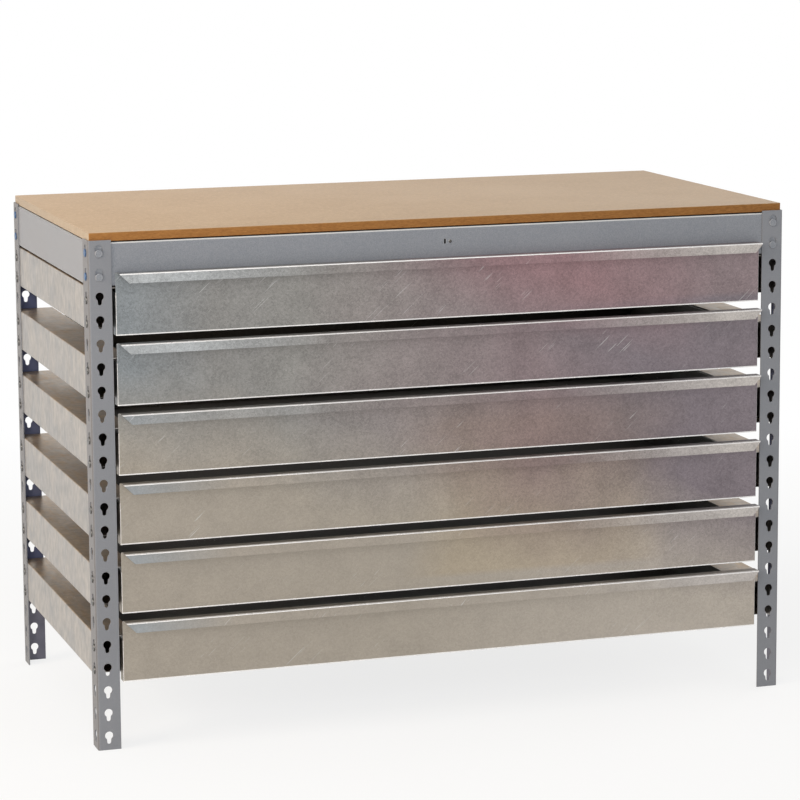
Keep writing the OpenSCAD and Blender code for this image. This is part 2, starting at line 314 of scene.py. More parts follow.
def make_inside_faces():
    """1 on the faces of posts and beams that look towards the middle of the bench, 0 elsewhere."""
    group, given, out = start_group("inside faces", {"Shell": SHELL}, {"Mask": "NodeSocketFloat"})
    place = axes(group, vector_calc(group, "SUBTRACT", object_position(group), (0, MIDDLE_Y, 0)))
    facing = facing_axes(group)
    masks = []
    for axis, outer in (("X", OUTER_X), ("Y", BACK_Y - MIDDLE_Y)):
        outward = calc(group, "MULTIPLY", facing[axis], calc(group, "SIGN", place[axis]))
        limit = calc(group, "SUBTRACT", outer, given["Shell"])
        in_shell = calc(group, "GREATER_THAN", calc(group, "ABSOLUTE", place[axis]), limit)
        masks.append(calc(group, "MULTIPLY", calc(group, "LESS_THAN", outward, -0.7), in_shell))
    group.links.new(calc(group, "MAXIMUM", masks[0], masks[1]), out["Mask"])
    return group


# The node groups that the materials share
worn_edges = make_worn_edges()
inside_faces = make_inside_faces()
zinc_spangle = make_spangle()
smudges = make_smudges()
scratches = make_scratches()


def start_material(name, **shader_values):
    material = bpy.data.materials.new(name)
    material.use_nodes = True
    tree = material.node_tree
    shader = tree.nodes["Principled BSDF"]
    for label, value in shader_values.items():
        shader.inputs[label.replace("_", " ")].default_value = value
    return material, tree, shader


def feed(tree, shader, colour, roughness):
    """Joins a colour and a roughness to the shader."""
    tree.links.new(colour, shader.inputs["Base Color"])
    tree.links.new(roughness, shader.inputs["Roughness"])


def add_bump(tree, shader, height, depth, strength):
    """Raises the surface by the height, which runs from 0 to 1 over the depth in metres."""
    bump = add_node(tree, "ShaderNodeBump", {"Height": height, "Distance": depth, "Strength": strength})
    tree.links.new(bump.outputs["Normal"], shader.inputs["Normal"])


# The posts' and beams' inside faces: two tones of dull blue, and the grey at the feet
INSIDE_LOW = (0.100, 0.125, 0.270, 1)
INSIDE_HIGH = (0.185, 0.200, 0.290, 1)
INSIDE_FOOT = (0.138, 0.136, 0.180, 1)
# Height of the outer bend at the top of a beam
BEAM_BEND = 0.0024


def make_paint(name, low, high, worn, roughness, side_shade, rub_width, bend_highlight):
    """Enamel with a slight orange peel, two close tones in patches, rubbed thin on its edges.

    The inside faces are a dull blue, and greyer at the posts' feet. A painted shade darkens faces turned to
    the sides, and the bend highlight is how strongly a painted highlight in the worn colour lies along the
    bend at the top of the front and back beams.
    """
    material, tree, shader = start_material(name, Metallic=0.0)
    place = object_position(tree)
    patches = place_group(tree, smudges, Size=0.16, Softness=0.28)["Mask"]
    speckle = rescale(tree, noise(tree, place, scale=900.0, detail=2.0), 0.35, 0.65, 0.0, 0.14)
    grainy = mix_colors(tree, speckle, mix_colors(tree, patches, low, high), worn)
    # A painted shade, darker and warmer, on faces turned to the sides
    sideways = facing_axes(tree)["X"]
    side_shaded = rescale(tree, calc(tree, "ABSOLUTE", sideways), 0.35, 0.70)
    painted_light = mix_colors(tree, side_shaded, NO_TINT, side_shade)
    outside = mix_colors(tree, 1.0, grainy, painted_light, "MULTIPLY")
    height = axes(tree, place)["Z"]
    blue = mix_colors(tree, patches, INSIDE_LOW, INSIDE_HIGH)
    above_foot = rescale(tree, height, FOOT_TOP - 0.01, FOOT_TOP + 0.01)
    inside = mix_colors(tree, above_foot, INSIDE_FOOT, blue)
    painted = mix_colors(tree, place_group(tree, inside_faces)["Mask"], outside, inside)
    rubbed = place_group(tree, worn_edges, Width=rub_width, Amount=0.8, Patch=0.04)["Mask"]
    # A painted highlight in the worn colour along the bend at the top of the front and back beams
    bend = rescale(tree, height, BEAM_TOP - BEAM_BEND, BEAM_TOP - 0.6 * BEAM_BEND, 0.0, bend_highlight)
    lengthwise = calc(tree, "SUBTRACT", 1.0, side_shaded)
    bright = calc(tree, "MAXIMUM", rubbed, calc(tree, "MULTIPLY", bend, lengthwise))
    feed(tree, shader, mix_colors(tree, bright, painted, worn),
         rescale(tree, patches, 0.0, 1.0, roughness, roughness + 0.1))
    add_bump(tree, shader, noise(tree, place, scale=420.0, detail=2.0), depth=0.00006, strength=0.6)
    return material


# How fast the drawers' painted reflection tints climb from left to right, and how far their bounds wander
TINT_SLANT = 0.30
TINT_WANDER = 0.16

# Tints of the drawer sheet, which multiply the zinc's own tone: painted reflections of the surroundings, and
# on the lips a painted dimming and painted highlights at the ends
COOL = (0.96, 1.05, 1.11, 1)
NEUTRAL = (1.02, 1.01, 0.98, 1)
PALE = (1.13, 1.10, 1.04, 1)
PINKISH = (0.99, 0.79, 0.83, 1)
VIOLET = (0.83, 0.72, 0.80, 1)
ROSY = (1.17, 0.76, 0.81, 1)
BEIGE = (1.47, 1.33, 1.14, 1)
PALE_BEIGE = (1.68, 1.53, 1.35, 1)
BROWNER = (1.03, 0.98, 0.88, 1)
LIP_DIMMING = (0.88, 0.88, 0.88, 1)
COOL_LIP_REFLECTION = (1.06, 1.13, 1.17, 1)
LEFT_LIP_HIGHLIGHT = (1.58, 1.66, 1.70, 1)
RIGHT_LIP_HIGHLIGHT = (1.80, 1.70, 1.62, 1)


def slanted_height(tree):
    """A height that also grows to the right, and the position's X and Z."""
    place = position_axes(tree)
    slanted = calc(tree, "ADD", place["Z"], calc(tree, "MULTIPLY", place["X"], TINT_SLANT))
    return slanted, place["X"], place["Z"]


def near_line(tree, x, line, inner, outer):
    """1 within the inner distance from a line across the bench at X, falling to 0 at the outer distance."""
    return rescale(tree, distance(tree, x, line), inner, outer, 1.0, 0.0)


def upper_reflection_tint(tree, slanted, x, z, drifted):
    """Painted reflections: grey running to a pinkish grey on the right.

    The first drawer is rosier just right of the middle, and those below it end in a violet grey.
    """
    neutral = mix_colors(tree, rescale(tree, x, -0.36, -0.17), NEUTRAL, PALE)
    grey = mix_colors(tree, rescale(tree, x, -0.54, -0.40), COOL, neutral)
    pinkish = mix_colors(tree, rescale(tree, drifted, -0.26, 0.12), grey, PINKISH)
    below_first = rescale(tree, z, 0.69, 0.70, 1.0, 0.0)
    ended = calc(tree, "MULTIPLY", rescale(tree, drifted, 0.15, 0.32), below_first)
    violet = mix_colors(tree, ended, pinkish, VIOLET)
    on_first = rescale(tree, slanted, 0.70, 0.80)
    flushed = calc(tree, "MULTIPLY", near_line(tree, drifted, 0.15, 0.10, 0.32), on_first)
    return mix_colors(tree, flushed, violet, ROSY)


def drawer_reflection_tint(tree):
    """Painted reflections: beige low down, paler to the right, and the upper tint higher up.

    The third to the fifth drawer are browner just right of the middle. Every limit is a place on the bench.
    """
    slanted, x, z = slanted_height(tree)
    cloud = place_group(tree, smudges, Size=0.30, Softness=0.35)["Mask"]
    drift = calc(tree, "MULTIPLY", calc(tree, "SUBTRACT", cloud, 0.5), TINT_WANDER)
    drifted = calc(tree, "ADD", x, drift)
    high = upper_reflection_tint(tree, slanted, x, z, drifted)
    low = mix_colors(tree, rescale(tree, drifted, -0.10, 0.35), BEIGE, PALE_BEIGE)
    sagged = calc(tree, "SUBTRACT", slanted, rescale(tree, x, 0.15, 0.35, 0.0, 0.035))
    upward = rescale(tree, calc(tree, "ADD", sagged, drift), 0.30, 0.48)
    tint = mix_colors(tree, upward, low, high)
    above_sixth = rescale(tree, z, 0.24, 0.25)
    below_second = rescale(tree, z, 0.50, 0.57, 1.0, 0.0)
    third_to_fifth = calc(tree, "MULTIPLY", above_sixth, below_second)
    browned = calc(tree, "MULTIPLY", near_line(tree, drifted, 0.16, 0.14, 0.26), third_to_fifth)
    return mix_colors(tree, browned, tint, BROWNER, "MULTIPLY")


def drawer_contrast(tree):
    """How much the crystals show: less on the smoother coil low down."""
    return rescale(tree, slanted_height(tree)[0], 0.26, 0.48, 0.45, 1.0)


def lip_reflection_tint(tree):
    """The drawer's painted reflection tint, dimmed, cooler at the left end, and with painted highlights at
    the ends of the upper lips.
    """
    slanted, x = slanted_height(tree)[:2]
    outer = rescale(tree, calc(tree, "ABSOLUTE", x), 0.20, 0.50)
    steeper = calc(tree, "ADD", slanted, calc(tree, "MULTIPLY", x, 0.20))
    bright = calc(tree, "MULTIPLY", outer, rescale(tree, steeper, 0.30, 0.42))
    dimmed = mix_colors(tree, 1.0, drawer_reflection_tint(tree), LIP_DIMMING, "MULTIPLY")
    cooled = mix_colors(tree, rescale(tree, x, -0.54, -0.38), COOL_LIP_REFLECTION, dimmed)
    ends = mix_colors(tree, rescale(tree, x, -0.3, 0.3), LEFT_LIP_HIGHLIGHT, RIGHT_LIP_HIGHLIGHT)
    return mix_colors(tree, bright, cooled, ends)


# Tints of smudges on folds and trays, of a runner where it is clean and under its painted brown tint, and of
# the painted shade at a tray's back
SMUDGED_FOLD = (0.90, 0.88, 0.86, 1)
SMUDGED_TRAY = (0.95, 0.90, 0.84, 1)
CLEAN_RUNNER = (1.0, 0.97, 0.93, 1)
RUNNER_WARM_SHADE = (1.05, 0.77, 0.47, 1)
TRAY_BACK_DARKENING = (0.40, 0.38, 0.36, 1)


def fold_highlight_tint(tree):
    cloud = place_group(tree, smudges, Size=0.06, Softness=0.3)["Mask"]
    return mix_colors(tree, cloud, NO_TINT, SMUDGED_FOLD)


def runner_tint(tree):
    """Upper faces carry a painted brown tint standing in for their warm shade and reflections, in streaks
    drawn out along the runner.
    """
    upward = facing_axes(tree)["Z"]
    along = add_node(tree, "ShaderNodeMapping", {"Vector": object_position(tree), "Scale": (1.0, 0.12, 1.0)})
    streaks = rescale(tree, noise(tree, along.outputs["Vector"], scale=160.0), 0.35, 0.65, 0.55, 1.0)
    painted_light = calc(tree, "MULTIPLY", rescale(tree, upward, 0.5, 0.9), streaks)
    return mix_colors(tree, painted_light, CLEAN_RUNNER, RUNNER_WARM_SHADE)


def tray_back_shade(tree):
    """A painted shade that darkens and dulls a drawer towards its back, on the faces that look up or inwards.
    """
    cloud = place_group(tree, smudges, Size=0.12, Softness=0.3)["Mask"]
    place = position_axes(tree)
    facing = facing_axes(tree)
    outward = calc(tree, "MULTIPLY", facing["X"], calc(tree, "SIGN", place["X"]))
    inward = calc(tree, "MULTIPLY", calc(tree, "MINIMUM", facing["Y"], outward), -1.0)
    inside = rescale(tree, calc(tree, "MAXIMUM", facing["Z"], inward), 0.4, 0.6)
    drift = calc(tree, "MULTIPLY", calc(tree, "SUBTRACT", cloud, 0.5), 0.05)
    back = rescale(tree, calc(tree, "ADD", place["Y"], drift), -0.08, 0.08)
    return calc(tree, "MULTIPLY", back, inside)


def tray_tint(tree):
    cloud = place_group(tree, smudges, Size=0.25, Softness=0.3)["Mask"]
    smudged = mix_colors(tree, cloud, NO_TINT, SMUDGED_TRAY)
    # Painted shade towards the drawer's back
    back_shaded = mix_colors(tree, 1.0, smudged, TRAY_BACK_DARKENING, "MULTIPLY")
    return mix_colors(tree, tray_back_shade(tree), smudged, back_shaded)


# Shares of the crystals' tone and tooth in the zinc's grain, and of the grain and the smudges in its shade
TONE_SHARE = 0.40
TOOTH_SHARE = 0.60
GRAIN_SHARE = 0.72
SMUDGE_SHARE = 0.28
# Bare zinc where it is scratched and where an edge has been rubbed, and how rough and metallic the painted
# shade at a tray's back is
SCRATCHED_ZINC = (0.60, 0.59, 0.58, 1)
RUBBED_ZINC = (0.80, 0.80, 0.78, 1)
BACK_SHADE_ROUGHNESS = 0.85
BACK_SHADE_METALLIC = 0.10


def zinc_shade(tree, spangle, fine, contrast):
    """How light the zinc is, from 0 to 1: the crystals' grain and soft smudges, at the contrast if any."""
    grain = calc(tree, "ADD", calc(tree, "MULTIPLY", spangle["Tone"], TONE_SHARE),
                 rescale(tree, spangle["Tooth"], 0.3, 0.7, 0.0, TOOTH_SHARE))
    shade = calc(tree, "ADD", calc(tree, "MULTIPLY", grain, GRAIN_SHARE),
                 calc(tree, "MULTIPLY", fine, SMUDGE_SHARE))
    if not contrast:
        return shade
    from_mean = calc(tree, "MULTIPLY", calc(tree, "SUBTRACT", shade, 0.5), contrast(tree))
    return calc(tree, "ADD", from_mean, 0.5)


def make_galvanised(name, crystal, dark, light, tint, metallic, rough_low, rough_high, stretch=1.0, wear=0.75,
                    contrast=None, back_shade=None):
    """Hot-dip zinc on sheet: crystals of slightly unlike tone, smudges, scratches and brighter rubbed edges.

    The contrast is how much the crystals show, and the back shade is a mask of where a painted shade, rough
    and dull, hides the metal.
    """
    material, tree, shader = start_material(name, Metallic=metallic)
    place = object_position(tree)
    spangle = place_group(tree, zinc_spangle, Crystal=crystal, Stretch=stretch)
    fine = place_group(tree, smudges, Size=0.05, Softness=0.25)["Mask"]
    crystals = mix_colors(tree, zinc_shade(tree, spangle, fine, contrast), dark, light)
    tinted = mix_colors(tree, 1.0, crystals, tint(tree), "MULTIPLY")
    scored = place_group(tree, scratches, Length=0.06, Rarity=0.70)["Mask"]
    scratched = mix_colors(tree, calc(tree, "MULTIPLY", scored, 0.5), tinted, SCRATCHED_ZINC)
    rubbed = place_group(tree, worn_edges, Width=0.0010, Amount=wear, Patch=0.03)["Mask"]
    mixed = calc(tree, "ADD", calc(tree, "MULTIPLY", spangle["Tone"], 0.5), calc(tree, "MULTIPLY", fine, 0.5))
    roughness = rescale(tree, mixed, 0.0, 1.0, rough_low, rough_high)
    if back_shade:
        painted_light = back_shade(tree)
        roughness = calc(tree, "MAXIMUM", roughness, calc(tree, "MULTIPLY", painted_light, BACK_SHADE_ROUGHNESS))
        tree.links.new(rescale(tree, painted_light, 0.0, 1.0, metallic, BACK_SHADE_METALLIC), shader.inputs["Metallic"])
    feed(tree, shader, mix_colors(tree, rubbed, scratched, RUBBED_ZINC), roughness)
    waves = noise(tree, place, scale=5.0, detail=1.0)
    tooth = calc(tree, "MULTIPLY", spangle["Tooth"], 0.01)
    add_bump(tree, shader, calc(tree, "ADD", waves, tooth), depth=0.0016, strength=0.5)
    return material


DULL_PLATE = (0.085, 0.080, 0.075, 1)
PALE_PLATE = (0.16, 0.155, 0.145, 1)
RUBBED_PLATE = (0.80, 0.79, 0.77, 1)


def make_stud_zinc():
    """Dull zinc plate on the runners' studs and the brace's rivets."""
    material, tree, shader = start_material("plated stud", Metallic=1.0)
    place = object_position(tree)
    blotch = place_group(tree, smudges, Size=0.012, Softness=0.25)["Mask"]
    rubbed = place_group(tree, worn_edges, Width=0.0006, Amount=0.8, Patch=0.01)["Mask"]
    plate = mix_colors(tree, blotch, DULL_PLATE, PALE_PLATE)
    feed(tree, shader, mix_colors(tree, rubbed, plate, RUBBED_PLATE),
         rescale(tree, blotch, 0.0, 1.0, 0.22, 0.36))
    add_bump(tree, shader, noise(tree, place, scale=1400.0, detail=2.0), depth=0.00004, strength=0.5)
    return material


# The fibreboard: its ground in two tones of tan, its fibres, the painted shadow on its lower arris, and its
# sawn edge and skin
DARKER_TAN = (0.430, 0.296, 0.180, 1)
PALER_TAN = (0.500, 0.358, 0.228, 1)
PALE_FIBRE = (0.60, 0.45, 0.30, 1)
DARK_FIBRE = (0.27, 0.165, 0.088, 1)
SHADOW_BLACK = (0.012, 0.006, 0.004, 1)
SHADOW_BROWN = (0.050, 0.024, 0.012, 1)
SAWN_BROWN = (0.215, 0.088, 0.021, 1)
SAWN_OCHRE = (0.330, 0.152, 0.043, 1)
BOARD_SKIN = (0.40, 0.23, 0.09, 1)


def make_board_face(name, shade):
    """Sanded fibreboard: a tan ground with small fibres of both darker and paler tone, under one shade, which
    on the board's ends is a painted shade.
    """
    material, tree, shader = start_material(name, Metallic=0.0)
    place = object_position(tree)
    cloud = place_group(tree, smudges, Size=0.10, Softness=0.3)["Mask"]
    mottle = noise(tree, place, scale=130.0, detail=5.0, roughness=0.7)
    fibres = noise(tree, place, scale=700.0, roughness=0.6)
    ground = mix_colors(tree, cloud, DARKER_TAN, PALER_TAN)
    mottled = mix_colors(tree, rescale(tree, mottle, 0.42, 0.64, 0.0, 0.65), ground, PALE_FIBRE)
    flecked = mix_colors(tree, rescale(tree, fibres, 0.54, 0.72, 0.0, 0.60), mottled, DARK_FIBRE)
    feed(tree, shader, mix_colors(tree, 1.0, flecked, shade, "MULTIPLY"),
         rescale(tree, mottle, 0.3, 0.7, 0.50, 0.68))
    add_bump(tree, shader, fibres, depth=0.00012, strength=0.6)
    return material


def make_arris_shadow():
    """A painted shadow along the lower arris of the fibreboard, where it sits on the beam."""
    material, tree, shader = start_material("fibreboard arris painted shadow", Metallic=0.0, Specular_IOR_Level=0.1)
    place = object_position(tree)
    shadow_noise = noise(tree, place, scale=260.0)
    shadow_mottle = rescale(tree, shadow_noise, 0.35, 0.65)
    shadow_tone = mix_colors(tree, shadow_mottle, SHADOW_BLACK, SHADOW_BROWN)
    feed(tree, shader, shadow_tone, rescale(tree, shadow_noise, 0.3, 0.7, 0.70, 0.85))
    add_bump(tree, shader, shadow_noise, depth=0.0002, strength=0.5)
    return material


def make_board_edge():
    """Sawn edge of fibreboard: ochre in thin level layers, and paler towards the board's two faces."""
    material, tree, shader = start_material("fibreboard sawn edge", Metallic=0.0, Specular_IOR_Level=0.2)
    place = object_position(tree)
    low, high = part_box("worktop")
    thickness = high[2] - low[2]
    from_middle = distance(tree, axes(tree, place)["Z"], (low[2] + high[2]) / 2)
    skin = rescale(tree, from_middle, 0.35 * thickness, 0.5 * thickness)
    layers = add_node(tree, "ShaderNodeMapping", {"Vector": place, "Scale": (1.0, 1.0, 6.0)})
    fibre = noise(tree, layers.outputs["Vector"], scale=150.0, detail=5.0, roughness=0.65)
    grain = rescale(tree, fibre, 0.35, 0.65)
    ground = mix_colors(tree, grain, SAWN_BROWN, SAWN_OCHRE)
    colour = mix_colors(tree, calc(tree, "MULTIPLY", skin, 0.35), ground, BOARD_SKIN)
    feed(tree, shader, colour, rescale(tree, fibre, 0.3, 0.7, 0.60, 0.78))
    add_bump(tree, shader, fibre, depth=0.0003, strength=0.7)
    return material


# The side shades below are painted shade, and the beams' pale worn colour also paints the highlight along
# their top bend
beam_paint = make_paint("blue grey enamel on beams",
                        low=(0.168, 0.183, 0.213, 1), high=(0.198, 0.211, 0.239, 1),
                        worn=(0.66, 0.67, 0.66, 1), roughness=0.36,
                        side_shade=(0.90, 0.85, 0.81, 1), rub_width=0.0012, bend_highlight=0.9)
post_paint = make_paint("blue grey enamel on posts",
                        low=(0.174, 0.183, 0.205, 1), high=(0.197, 0.206, 0.228, 1),
                        worn=(0.44, 0.44, 0.44, 1), roughness=0.36,
                        side_shade=(0.60, 0.55, 0.51, 1), rub_width=0.0007, bend_highlight=0.0)
blue_paint = make_paint("blue enamel",
                        low=(0.008, 0.042, 0.120, 1), high=(0.014, 0.070, 0.185, 1),
                        worn=(0.16, 0.26, 0.40, 1), roughness=0.26,
                        side_shade=NO_TINT, rub_width=0.0007, bend_highlight=0.0)
# The drawer sheet's tint is a painted reflection of the surroundings
drawer_zinc = make_galvanised("galvanised drawer sheet", crystal=0.0027,
                              dark=(0.132, 0.130, 0.127, 1), light=(0.360, 0.354, 0.347, 1),
                              tint=drawer_reflection_tint, metallic=0.85, rough_low=0.34, rough_high=0.48,
                              contrast=drawer_contrast)
# The lip's tint is a painted reflection, with painted highlights at the upper lips' ends
lip_zinc = make_galvanised("galvanised drawer lip", crystal=0.0027,
                           dark=(0.140, 0.137, 0.134, 1), light=(0.350, 0.345, 0.340, 1),
                           tint=lip_reflection_tint, metallic=0.85, rough_low=0.34, rough_high=0.48,
                           wear=0.0, contrast=drawer_contrast)
# A painted highlight: near-white sheet for the bright lines along the fronts' folds and bottom edges
fold_highlight = make_galvanised("painted fold highlight", crystal=0.0050,
                            dark=(0.86, 0.87, 0.88, 1), light=(0.98, 0.98, 0.98, 1),
                            tint=fold_highlight_tint, metallic=0.25, rough_low=0.20, rough_high=0.30, wear=0.0)
# The trays carry a painted shade towards their backs
tray_zinc = make_galvanised("galvanised tray sheet", crystal=0.0060,
                            dark=(0.185, 0.181, 0.175, 1), light=(0.330, 0.325, 0.315, 1),
                            tint=tray_tint, metallic=0.85, rough_low=0.30, rough_high=0.44, back_shade=tray_back_shade)
# Painted warm shade in brown on the runners' upper faces
runner_zinc = make_galvanised("galvanised runner sheet", crystal=0.0240, stretch=0.60,
                              dark=(0.170, 0.170, 0.172, 1), light=(0.480, 0.450, 0.420, 1),
                              tint=runner_tint, metallic=0.70, rough_low=0.28, rough_high=0.44)
stud_zinc = make_stud_zinc()
board_face = make_board_face("fibreboard face", shade=NO_TINT)
# The board's ends: the face's fibreboard under a painted shade
shaded_board_end = make_board_face("fibreboard end under painted shade", shade=(0.66, 0.72, 0.80, 1))
board_edge = make_board_edge()
board_arris_shadow = make_arris_shadow()


# The worktop

CORNER_ROUND = 0.0015
TOP_ARRIS = 0.0005
# Width of the slant cut off the bottom edge, which carries a painted shadow
SHADOWED_ARRIS = 0.0024

# Places in the board's material list
BOARD_EDGE = 1
BOARD_ARRIS = 2
BOARD_END = 3


def make_worktop():
    """The board, with its upright corners and top edge rounded and its bottom edge cut off at a slant."""
    low, high = (Vector(corner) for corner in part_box("worktop"))
    bpy.ops.object.select_all(action="DESELECT")
    bpy.ops.mesh.primitive_cube_add(size=1, location=(low + high) / 2, scale=high - low)
    board = name_piece("worktop_board")
    settle(board)
    bpy.ops.object.mode_set(mode="EDIT")
    pick_edges(board, lambda a, b: abs(a.z - b.z) > SNAP)
    bpy.ops.mesh.bevel(offset=CORNER_ROUND, segments=3)
    pick_edges(board, lambda a, b: min(a.z, b.z) > high.z - SNAP)
    bpy.ops.mesh.bevel(offset=TOP_ARRIS, segments=2)
    pick_edges(board, lambda a, b: max(a.z, b.z) < low.z + SNAP)
    bpy.ops.mesh.bevel(offset=SHADOWED_ARRIS, segments=1)
    bpy.ops.object.mode_set(mode="OBJECT")
    dress(board, board_face, board_edge, board_arris_shadow, shaded_board_end)
    for face in board.data.polygons:
        # The slant along the bottom takes the painted shadow
        slants_down = -0.9 < face.normal.z < -0.3
        if slants_down:
            face.material_index = BOARD_ARRIS
        elif abs(face.normal.y) > 0.5:
            face.material_index = BOARD_EDGE
        elif abs(face.normal.x) > 0.5:
            face.material_index = BOARD_END
    smooth(board)
    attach(board, "frame")
    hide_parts("worktop")


make_worktop()


# The drawer fronts

DRAWER_PITCH = HOLES_PER_DRAWER * HOLE_PITCH
FRONT_T = 0.001
# Radius of the square folds, and in how many flat strips a fold turns
FOLD_R = 0.001
FOLD_SEGMENTS = 4
# How far the flange reaches forward, and how far it stops short of each end of the front
PULL_REACH = 0.022
FLANGE_END_INSET = 0.002
# How far the lip comes down, how far it leans out, and what the mitre takes off each lower corner
LIP_DROP = 0.015
LIP_FLARE = math.radians(20)
LIP_MITRE = 0.015
# Depth and height of the side returns
RETURN_DEPTH = 0.020
RETURN_H = 0.0685
# Widths of the painted highlight lines: along the fold over the lip, and along the bottom edge
FOLD_GLEAM = 0.0055
BOTTOM_GLEAM = 0.0018

# Places in a front's material list
LIP = 1
BRIGHT_LINE = 2


def bend_edges(piece, test):
    """Rounds the fold lines that pass the test."""
    pick_edges(piece, test)
    bpy.ops.mesh.bevel(offset=FOLD_R, segments=FOLD_SEGMENTS)


def make_drawer_front():
    """The first drawer's front as one folded sheet.

    It is drawn as a skin, which runs over the face's front and on along the inner side of the folds at the
    top, and then given its thickness.
    """
    low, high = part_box("drawer_front_1")
    half_w = high[0]
    bottom = low[2]
    inner_top = high[2] - FRONT_T
    flange_half = half_w - FLANGE_END_INSET
    bpy.ops.object.select_all(action="DESELECT")
    bpy.ops.mesh.primitive_plane_add(size=1, location=(0, FRONT_Y, (bottom + inner_top) / 2),
                                     rotation=(math.radians(90), 0, 0))
    front = name_piece("drawer_front_sheet_1")
    front.scale = (2 * half_w, inner_top - bottom, 1)
    settle(front)
    bpy.ops.object.mode_set(mode="EDIT")

    # Lines where the side returns and the flange end
    score_lines((((0, 0, bottom + RETURN_H), (0, 0, 1)),
                 ((-flange_half, 0, 0), (1, 0, 0)),
                 ((flange_half, 0, 0), (1, 0, 0))))

    # Flange forward, then the lip down and outward with its ends mitred
    pick_edges(front, lambda a, b: min(a.z, b.z) > inner_top - SNAP
               and max(abs(a.x), abs(b.x)) < flange_half + SNAP)
    bend = (math.pi / 2 - LIP_FLARE) / 2
    flange_run = PULL_REACH - FRONT_T * math.tan(bend)
    bpy.ops.mesh.extrude_region_move(TRANSFORM_OT_translate={"value": (0, -flange_run, 0)})
    out = LIP_DROP * math.tan(LIP_FLARE) + FRONT_T * (math.tan(bend) - math.cos(LIP_FLARE))
    down = LIP_DROP - FRONT_T * (1 - math.sin(LIP_FLARE))
    bpy.ops.mesh.extrude_region_move(TRANSFORM_OT_translate={"value": (0, -out, -down)})
    mitre = (flange_half - LIP_MITRE) / flange_half
    bpy.ops.transform.resize(value=(mitre, 1, 1), center_override=(0, 0, 0))

    # Side returns
    def at_end(side, point):
        return side * point.x > half_w - SNAP and point.z < bottom + RETURN_H + SNAP

    for side in (-1, 1):
        pick_edges(front, lambda a, b: at_end(side, a) and at_end(side, b))
        bpy.ops.mesh.extrude_region_move(TRANSFORM_OT_translate={"value": (0, RETURN_DEPTH, 0)})

    # Round the folds
    bend_edges(front, lambda a, b: min(a.z, b.z) > inner_top - SNAP and abs(a.y - b.y) < SNAP
               and max(abs(a.x), abs(b.x)) < flange_half + SNAP)
    for side in (-1, 1):
        bend_edges(front, lambda a, b: at_end(side, a) and at_end(side, b)
                   and max(a.y, b.y) < FRONT_Y + SNAP)
    bpy.ops.object.mode_set(mode="OBJECT")

    skin = front.modifiers.new("sheet thickness", "SOLIDIFY")
    skin.thickness = FRONT_T
    skin.offset = -1
    skin.use_even_offset = True
    apply_modifiers(front)
    outward_normals(front)

    # Lines that bound the painted highlight strips
    bpy.ops.object.mode_set(mode="EDIT")
    score_lines((((0, FRONT_Y - PULL_REACH + FOLD_GLEAM, 0), (0, 1, 0)),
                 ((0, 0, bottom + BOTTOM_GLEAM), (0, 0, 1))))
    bpy.ops.object.mode_set(mode="OBJECT")
    finish_front(front, bottom, high[2])
    smooth(front)
    return front


def finish_front(front, bottom, top):
    """The face and returns, the lip with its painted reflection tint, and the painted highlight lines along
    the folds and the bottom edge.
    """
    dress(front, drawer_zinc, lip_zinc, fold_highlight)
    bend = 2 * FOLD_R + FRONT_T
    for face in front.data.polygons:
        ahead = FRONT_Y - face.center.y
        facing = face.normal
        if ahead > PULL_REACH - bend and face.center.z > top - bend:
            # The outer side of the fold between flange and lip takes a painted highlight
            if facing.y < -0.2 and 0.36 < facing.z < 0.97:
                face.material_index = BRIGHT_LINE
        elif ahead > 2 * FRONT_T and face.center.z < top - FRONT_T:
            face.material_index = LIP
        elif facing.y < -0.5 and 0.3 < abs(facing.x) < 0.9:
            # The folds to the side returns take a painted highlight
            face.material_index = BRIGHT_LINE
        elif facing.z > 0.97 and ahead > PULL_REACH - FOLD_GLEAM:
            # The strip of the flange behind its fold takes a painted highlight
            face.material_index = BRIGHT_LINE
        # A painted highlight along the bottom edge
        elif facing.y < -0.5 and face.center.z < bottom + BOTTOM_GLEAM:
            face.material_index = BRIGHT_LINE


def make_drawer_fronts():
    first = make_drawer_front()
    for n in range(1, DRAWERS + 1):
        drop = Matrix.Translation((0, 0, -DRAWER_PITCH * (n - 1)))
        front = first if n == 1 else copy_piece(first, f"drawer_front_sheet_{n}", drop)
        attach(front, f"drawer_{n}")
        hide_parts(f"drawer_front_{n}")


make_drawer_fronts()


# The studs

# From a post's outer corner to the middle of its keyholes, and from a pitch's top to the middle of a stud
HOLE_INSET = 0.018
STUD_DROP = 0.021
# Thicknesses of the two sheets that a stud holds: the post, and the beam or runner behind it
POST_T = 0.0018
WEB_T = 0.0012
# The radii of a stud's head, shank and tail, and how many sides each is drawn with
HEAD_R = 0.0065
SHANK_R = 0.0034
TAIL_R = 0.005
HEAD_SIDES = 28
SHANK_SIDES = 16
TAIL_SIDES = 20

# Steps from a flat disc to a domed head and a rolled tail: how far its face moves and how it is scaled
HEAD_STEPS = ((0.0011, 1.0), (0.0005, 0.965), (0.0003, 0.90), (0.0001, 0.80),
              (-0.0002, 0.93), (0.00005, 0.80), (0.00015, 0.55))
TAIL_STEPS = ((-0.0008, 1.0), (-0.0004, 0.92), (-0.0003, 0.72), (0.0004, 0.6))

# The keyholes that carry a beam, counted from the top
BEAM_KEYHOLES = (0, 1)


def grow_disc(steps):
    """From a filled circle at the origin: each step pushes its face along Z by a length and scales it."""
    for length, scale in steps:
        bpy.ops.mesh.extrude_region_move(TRANSFORM_OT_translate={"value": (0, 0, length)})
        bpy.ops.transform.resize(value=(scale, scale, 1), center_override=(0, 0, 0))


